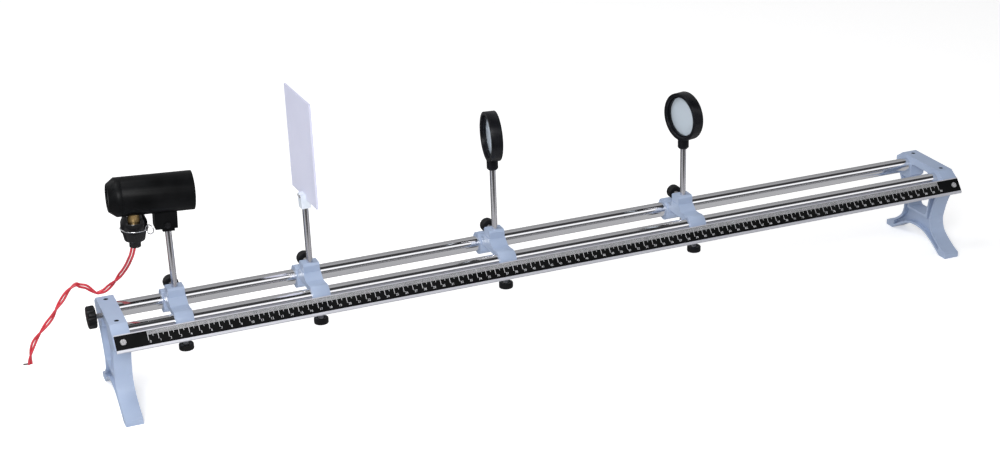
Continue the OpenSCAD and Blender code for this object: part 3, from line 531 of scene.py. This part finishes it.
bm = bmesh.new()
for k in range(SCALE_CM + 1):
    curve = bpy.data.curves.new("figure", "FONT")
    curve.body = str(k)
    curve.size = FIGURE_SIZE
    figure = link(bpy.data.objects.new("figure", curve))
    figure.location = on_face(zero_x + (k * 10 + FIGURE_SIDE) * MM, FIGURE_DOWN)
    figure.rotation_euler = (math.pi / 2 - SLOPE, 0, 0)
    bpy.context.view_layer.update()
    shape = figure.to_mesh()
    shape.transform(figure.matrix_world)
    bm.from_mesh(shape)
    figure.to_mesh_clear()
    bpy.data.objects.remove(figure)
    bpy.data.curves.remove(curve)
figures = new_piece("scale_figures", bm, tick_white)
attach(figures, "bench")


# Floor, backdrop and light
def bands_of(nt, value, low, high, stops):
    """Grey bands over a range of a value, from pairs of place and level."""
    share = nt.nodes.new("ShaderNodeMapRange")
    share.inputs["From Min"].default_value = low
    share.inputs["From Max"].default_value = high
    nt.links.new(value, share.inputs["Value"])
    ramp = nt.nodes.new("ShaderNodeValToRGB")
    nt.links.new(share.outputs["Result"], ramp.inputs["Fac"])
    elements = ramp.color_ramp.elements
    for element, (place, level) in zip(elements, (stops[0], stops[-1])):
        element.position = place
        element.color = (level, level, level * 1.02, 1)
    for place, level in stops[1:-1]:
        elements.new(place).color = (level, level, level * 1.02, 1)
    return ramp.outputs["Color"]


def math_of(nt, operation, one, two):
    """Result of a math node with two inputs."""
    node = nt.nodes.new("ShaderNodeMath")
    node.operation = operation
    nt.links.new(one, node.inputs[0])
    nt.links.new(two, node.inputs[1])
    return node.outputs[0]


def join_of(nt, kind, *sockets):
    """Mix or add shader fed by sockets in their order."""
    node = nt.nodes.new(kind)
    for socket, plug in zip(sockets, node.inputs):
        nt.links.new(socket, plug)
    return node.outputs[0]


def seen_directly(nt, path):
    """One for rays from the camera, also through glass, and zero for the rest."""
    return math_of(nt, "MAXIMUM", path["Is Camera Ray"], path["Is Transmission Ray"])


def axes_of(nt, coords_name):
    """Separate X, Y and Z of a texture coordinate."""
    split = nt.nodes.new("ShaderNodeSeparateXYZ")
    nt.links.new(nt.nodes.new("ShaderNodeTexCoord").outputs[coords_name], split.inputs[0])
    return split.outputs


# Pale floor that keeps its shadows. Only glossy rays meet the stripes, which give the rods their
# dark and light bands.
FLOOR_HALF = 12
FLOOR_GLOW = 0.42
FLOOR_STRIPES = [(0.0, 0.30), (0.19, 0.34), (0.215, 0.07), (0.325, 0.07), (0.345, 0.52),
                 (0.52, 0.52), (0.56, 0.12), (0.80, 0.12), (1.0, 0.3)]
bm = bmesh.new()
bmesh.ops.create_grid(bm, x_segments=1, y_segments=1, size=FLOOR_HALF)
floor_mat = bpy.data.materials.new("floor")
floor_mat.use_nodes = True
nt = floor_mat.node_tree
floor_shader = nt.nodes["Principled BSDF"]
floor_shader.inputs["Base Color"].default_value = (0.93, 0.93, 0.935, 1)
floor_shader.inputs["Roughness"].default_value = 0.75
glow = nt.nodes.new("ShaderNodeEmission")
glow.inputs["Color"].default_value = (1, 1, 1, 1)
glow.inputs["Strength"].default_value = FLOOR_GLOW
mirror = nt.nodes.new("ShaderNodeEmission")
stripes = bands_of(nt, axes_of(nt, "Object")["Y"], -1, 1, FLOOR_STRIPES)
nt.links.new(stripes, mirror.inputs["Color"])
path = nt.nodes.new("ShaderNodeLightPath").outputs
lit = join_of(nt, "ShaderNodeAddShader", floor_shader.outputs[0], glow.outputs[0])
plain = join_of(nt, "ShaderNodeMixShader", seen_directly(nt, path), floor_shader.outputs[0], lit)
shiny = join_of(nt, "ShaderNodeMixShader", path["Is Glossy Ray"], plain, mirror.outputs[0])
nt.links.new(shiny, nt.nodes["Material Output"].inputs["Surface"])
floor = new_piece("floor", bm, floor_mat)

# White backdrop for the camera, a soft grey for other rays, and bands by the angle round X for
# glossy ones.
SOFT_LIGHT = 0.42
SKY_BANDS = [(0.0, 0.36), (0.30, 0.40), (0.45, 0.5), (0.50, 0.05), (0.69, 0.05), (0.735, 1.3),
             (0.83, 1.3), (0.86, 0.12), (0.95, 0.12), (0.98, 0.5), (1.0, 0.5)]
world = bpy.data.worlds.new("studio")
scene.world = world
world.use_nodes = True
nt = world.node_tree
shown = nt.nodes["Background"]
shown.inputs["Color"].default_value = (1, 1, 1, 1)
shown.inputs["Strength"].default_value = 1
soft = nt.nodes.new("ShaderNodeBackground")
soft.inputs["Color"].default_value = (1, 1, 1, 1)
soft.inputs["Strength"].default_value = SOFT_LIGHT
shine = nt.nodes.new("ShaderNodeBackground")
shine.inputs["Strength"].default_value = 1
axes = axes_of(nt, "Generated")
angle = math_of(nt, "ARCTAN2", axes["Z"], axes["Y"])
nt.links.new(bands_of(nt, angle, 0, math.pi, SKY_BANDS), shine.inputs["Color"])
path = nt.nodes.new("ShaderNodeLightPath").outputs
lighting = join_of(nt, "ShaderNodeMixShader", path["Is Glossy Ray"], soft.outputs[0],
                   shine.outputs[0])
backdrop = join_of(nt, "ShaderNodeMixShader", seen_directly(nt, path), lighting, shown.outputs[0])
nt.links.new(backdrop, nt.nodes["World Output"].inputs["Surface"])


def area_light(name, place, aim, size, watts):
    """Rectangular light that faces a point."""
    data = bpy.data.lights.new(name, "AREA")
    data.shape = "RECTANGLE"
    data.size, data.size_y = size
    data.energy = watts
    obj = link(bpy.data.objects.new(name, data))
    obj.location = place
    obj.rotation_euler = (Vector(aim) - Vector(place)).to_track_quat("-Z", "Y").to_euler()


area_light("key", (-0.9, -1.5, 1.15), (-0.1, 0, 0.1), (0.7, 0.7), 21)
area_light("top", (-1.0, 0.1, 1.9), (-0.05, 0, 0.1), (1.2, 0.9), 12)
area_light("back", (-1.5, 1.9, 1.8), (0, 0, 0.1), (1.0, 1.0), 6)
